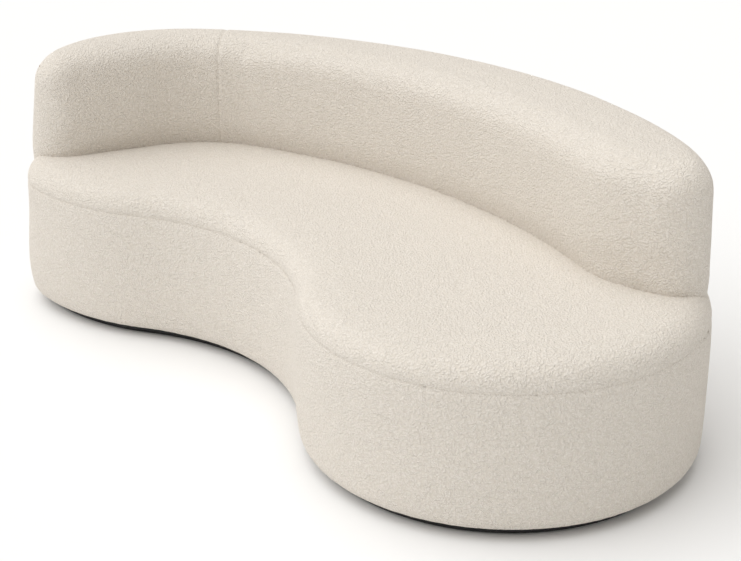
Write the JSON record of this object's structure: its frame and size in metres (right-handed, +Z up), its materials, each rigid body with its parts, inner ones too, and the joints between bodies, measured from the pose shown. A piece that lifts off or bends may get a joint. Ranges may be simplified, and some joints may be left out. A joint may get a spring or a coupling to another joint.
{
  "type": "curved sofa",
  "caption": "Curved sofa with a kidney-shaped tight seat on a low recessed plinth and a crescent back that wraps into an arm.",
  "frame": {"origin": "on the floor, under the middle of the overall plan box", "axes": "+X along the length towards the large lobe, +Z up, the sitter faces -Y"},
  "size_m": [2.1813, 1.1736, 0.762],
  "materials": {
    "boucle_cover": "cream loop-pile cloth with a fine nubbly surface",
    "plinth_black": "matt black lacquer on bent ply",
    "birch_ply": "raw birch plywood",
    "softwood": "planed softwood",
    "hardboard": "tempered hardboard",
    "foam": "open-cell upholstery foam",
    "webbing": "woven elastic webbing",
    "felt": "needled grey felt",
    "dust_cloth": "black spun-bonded dust cloth",
    "zinc_steel": "bright zinc plate",
    "nylon": "black nylon"
  },
  "bodies": {
    "root": {"seat_cover_top": "boucle_cover", "border_cover_front": "boucle_cover", "border_cover_rear": "boucle_cover", "back_cover_arm": "boucle_cover", "back_cover_main": "boucle_cover", "plinth_ring": "plinth_black", "plinth_braces": "birch_ply", "base_panel": "birch_ply", "wall_front": "birch_ply", "wall_rear": "birch_ply", "seat_formers": "birch_ply", "deck": "birch_ply", "riser_ring": "birch_ply", "riser_plate": "birch_ply", "back_bottom_rail": "birch_ply", "back_top_rail": "birch_ply", "back_ribs": "birch_ply", "wall_posts": "softwood", "back_skin_front": "hardboard", "back_skin_rear": "hardboard", "seat_foam_core": "foam", "seat_foam_topper": "foam", "side_foam_wrap": "foam", "back_foam_front": "foam", "back_foam_rear": "foam", "seat_webbing": "webbing", "spring_felt": "felt", "dust_cover": "dust_cloth", "plinth_screws": "zinc_steel", "back_bolts": "zinc_steel", "bolt_washers": "zinc_steel", "tee_nuts": "zinc_steel", "glides": "nylon"}
  },
  "joints": []
}
